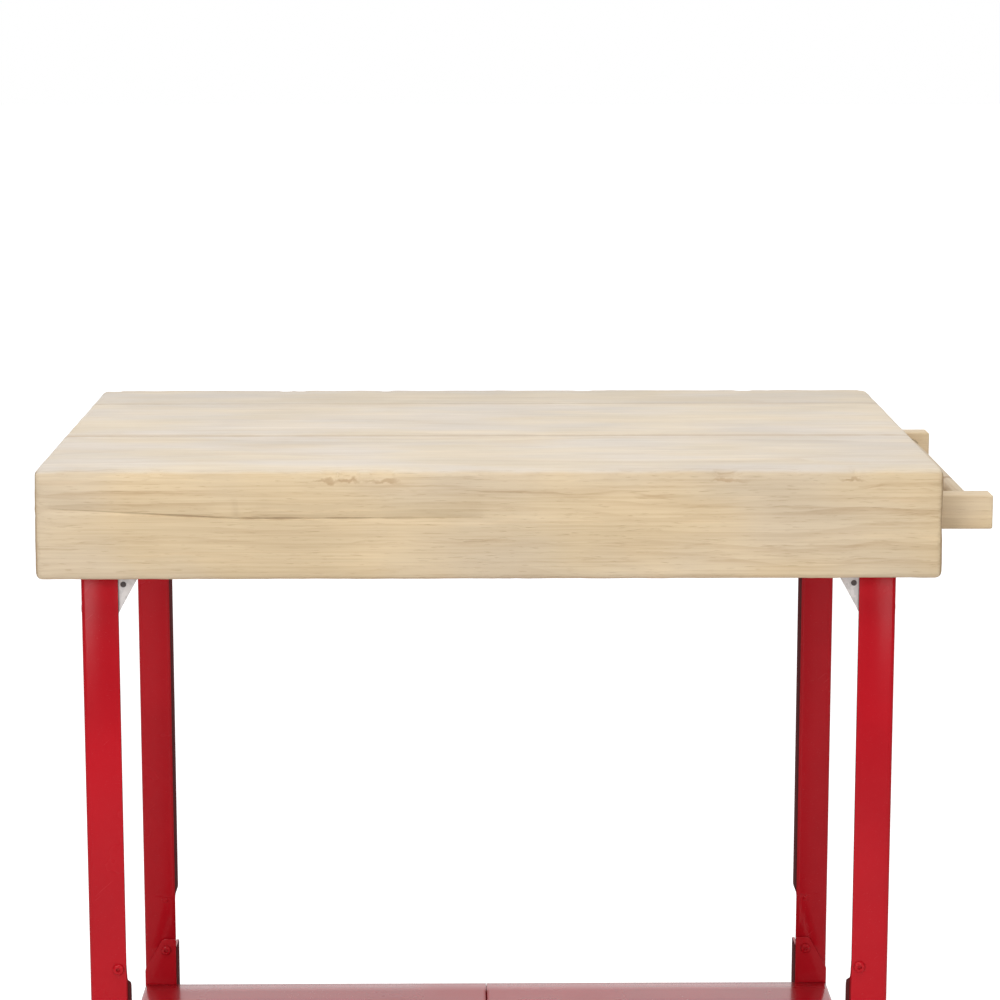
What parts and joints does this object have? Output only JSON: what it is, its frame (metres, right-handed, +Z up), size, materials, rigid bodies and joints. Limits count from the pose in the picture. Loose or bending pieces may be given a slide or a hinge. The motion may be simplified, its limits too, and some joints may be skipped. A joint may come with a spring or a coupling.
{
  "type": "toy workbench",
  "caption": "Child's workbench with a thick jointed timber top, red pressed-steel legs, a folded steel shelf near the floor and a wooden hanging rail across one end.",
  "frame": {"origin": "on the floor, under the middle of the whole object with its hanging rail", "axes": "+X along the bench towards the end with the hanging rail, +Y from the front to the back, +Z up"},
  "size_m": [0.651, 0.4, 0.58],
  "materials": {
    "oak_timber": "pale planed timber with a thin matt oil finish",
    "spline_plywood": "raw plywood",
    "red_paint": "semi-gloss red powder coat on pressed steel",
    "zinc_plate": "bright zinc plate",
    "foot_rubber": "matt black moulded rubber"
  },
  "bodies": {
    "bench": {"top_board_front": "oak_timber", "top_board_middle": "oak_timber", "top_board_rear": "oak_timber", "top_spline_front": "spline_plywood", "top_spline_rear": "spline_plywood", "leg_front_left": "red_paint", "leg_front_right": "red_paint", "leg_rear_left": "red_paint", "leg_rear_right": "red_paint", "leg_stiffener_left": "red_paint", "leg_stiffener_right": "red_paint", "corner_bracket_front_left": "zinc_plate", "corner_bracket_front_right": "zinc_plate", "corner_bracket_rear_left": "zinc_plate", "corner_bracket_rear_right": "zinc_plate", "foot_front_left": "foot_rubber", "foot_front_right": "foot_rubber", "foot_rear_left": "foot_rubber", "foot_rear_right": "foot_rubber", "shelf_side_rail_left": "red_paint", "shelf_side_rail_right": "red_paint", "shelf_front_beam": "red_paint", "shelf_rear_beam": "red_paint", "shelf_tray_left": "red_paint", "shelf_tray_right": "red_paint", "rail_bracket_front": "oak_timber", "rail_bracket_rear": "oak_timber", "bracket_screw_front_left_outer": "zinc_plate", "bracket_screw_front_left_inner": "zinc_plate", "bracket_screw_front_right_outer": "zinc_plate", "bracket_screw_front_right_inner": "zinc_plate", "bracket_screw_rear_left_outer": "zinc_plate", "bracket_screw_rear_left_inner": "zinc_plate", "bracket_screw_rear_right_outer": "zinc_plate", "bracket_screw_rear_right_inner": "zinc_plate", "bracket_rivet_front_left": "red_paint", "bracket_rivet_front_right": "red_paint", "bracket_rivet_rear_left": "red_paint", "bracket_rivet_rear_right": "red_paint", "beam_rivet_front_left": "red_paint", "beam_rivet_front_right": "red_paint", "beam_rivet_rear_left": "red_paint", "beam_rivet_rear_right": "red_paint", "side_rail_rivet_left": "red_paint", "side_rail_rivet_right": "red_paint", "stiffener_bolt_left": "red_paint", "stiffener_bolt_right": "red_paint", "tab_bolt_left": "red_paint", "tab_bolt_right": "red_paint", "stiffener_nut_left": "zinc_plate", "stiffener_nut_right": "zinc_plate", "tab_nut_left": "zinc_plate", "tab_nut_right": "zinc_plate", "rail_screw_front_upper": "zinc_plate", "rail_screw_front_lower": "zinc_plate", "rail_screw_rear_upper": "zinc_plate", "rail_screw_rear_lower": "zinc_plate"},
    "rod": {"hanging_rod": "oak_timber"}
  },
  "joints": [
    {"name": "rod_spin", "type": "hinge", "parent": "bench", "child": "rod", "pos_m": [0.3105, 0, 0.5425], "axis": [0, 1, 0], "continuous": true}
  ]
}
